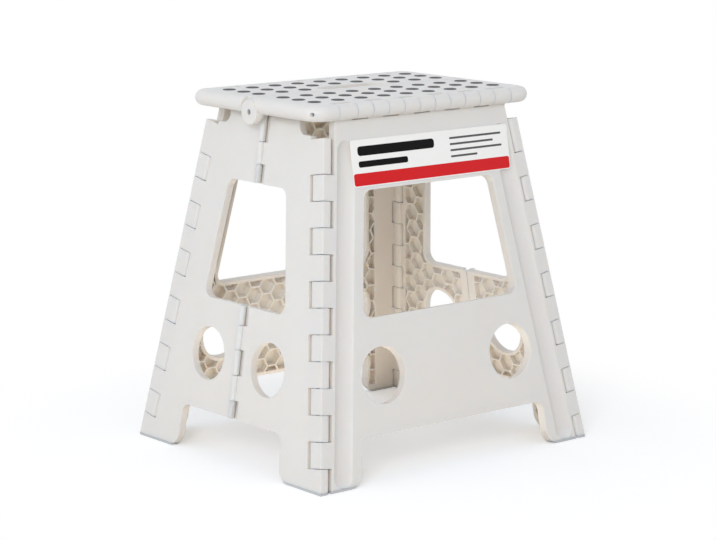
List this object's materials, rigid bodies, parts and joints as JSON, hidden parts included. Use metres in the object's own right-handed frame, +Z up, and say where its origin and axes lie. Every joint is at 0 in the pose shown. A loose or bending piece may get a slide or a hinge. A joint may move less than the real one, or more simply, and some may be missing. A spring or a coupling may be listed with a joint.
{
  "type": "folding step stool",
  "caption": "Folding step stool with tapered ribbed panels on corner hinges, ends that fold inwards, and a seat that hinges up at its middle, with grip dots and a carrying slot.",
  "frame": {"origin": "on the floor, under the middle of the seat", "axes": "+X along the seat's long edges towards the right end, +Y towards the rear side panel, which is the one under the seat half with the carrying slot, +Z up"},
  "size_m": [0.377, 0.325, 0.3906],
  "materials": {
    "cream_plastic": "fine satin",
    "grip_rubber": "matte",
    "foot_rubber": "matte",
    "steel": "plain drawn wire"
  },
  "bodies": {
    "front_side": {"front_side_panel": "cream_plastic", "front_foot_pads": "foot_rubber", "left_front_corner_rod": "steel", "right_front_corner_rod": "steel"},
    "rear_side": {"rear_side_panel": "cream_plastic", "rear_foot_pads": "foot_rubber", "left_rear_corner_rod": "steel", "right_rear_corner_rod": "steel"},
    "left_front_end": {"left_front_end_panel": "cream_plastic", "left_front_foot_pad": "foot_rubber", "left_upper_hinge_pin": "steel", "left_lower_hinge_pin": "steel"},
    "left_rear_end": {"left_rear_end_panel": "cream_plastic", "left_rear_foot_pad": "foot_rubber"},
    "right_front_end": {"right_front_end_panel": "cream_plastic", "right_front_foot_pad": "foot_rubber", "right_upper_hinge_pin": "steel", "right_lower_hinge_pin": "steel"},
    "right_rear_end": {"right_rear_end_panel": "cream_plastic", "right_rear_foot_pad": "foot_rubber"},
    "front_seat": {"front_seat_half": "cream_plastic", "front_grip_dots": "grip_rubber", "front_seat_rod": "steel", "left_seat_pin": "steel"},
    "rear_seat": {"rear_seat_half": "cream_plastic", "rear_grip_dots": "grip_rubber", "rear_seat_rod": "steel", "right_seat_pin": "steel"}
  },
  "joints": [
    {"name": "left_front_corner", "type": "hinge", "parent": "front_side", "child": "left_front_end", "pos_m": [-0.1568, -0.11953, 0.17], "axis": [-0.147, -0.165, -0.9753], "range_deg": [0, 90]},
    {"name": "left_middle", "type": "hinge", "parent": "left_front_end", "child": "left_rear_end", "pos_m": [-0.17217, 0, 0.11], "axis": [0.1491, 0, 0.9888], "range_deg": [0, 177]},
    {"name": "left_rear_corner", "type": "hinge", "parent": "left_rear_end", "child": "rear_side", "pos_m": [-0.1568, 0.11953, 0.17], "axis": [-0.147, 0.165, -0.9753], "range_deg": [0, 90]},
    {"name": "right_front_corner", "type": "hinge", "parent": "front_side", "child": "right_front_end", "pos_m": [0.1568, -0.11953, 0.17], "axis": [-0.147, 0.165, 0.9753], "range_deg": [0, 90]},
    {"name": "right_rear_corner", "type": "hinge", "parent": "rear_side", "child": "right_rear_end", "pos_m": [0.1568, 0.11953, 0.17], "axis": [0.147, 0.165, -0.9753], "range_deg": [0, 90]},
    {"name": "front_seat_hinge", "type": "hinge", "parent": "front_side", "child": "front_seat", "pos_m": [0, -0.1015, 0.3815], "axis": [1, 0, 0], "range_deg": [0, 73]},
    {"name": "seat_centre", "type": "hinge", "parent": "front_seat", "child": "rear_seat", "pos_m": [0, 0, 0.375], "axis": [-1, 0, 0], "range_deg": [0, 158.5]}
  ],
  "couplings": [
    {"joint": "left_middle", "follows": "left_front_corner", "ratio": 1.9665},
    {"joint": "left_rear_corner", "follows": "left_front_corner", "ratio": 1},
    {"joint": "right_front_corner", "follows": "left_front_corner", "ratio": 1},
    {"joint": "right_rear_corner", "follows": "left_front_corner", "ratio": 1},
    {"joint": "front_seat_hinge", "follows": "left_front_corner", "ratio": 0.81},
    {"joint": "seat_centre", "follows": "left_front_corner", "ratio": 1.7605}
  ]
}
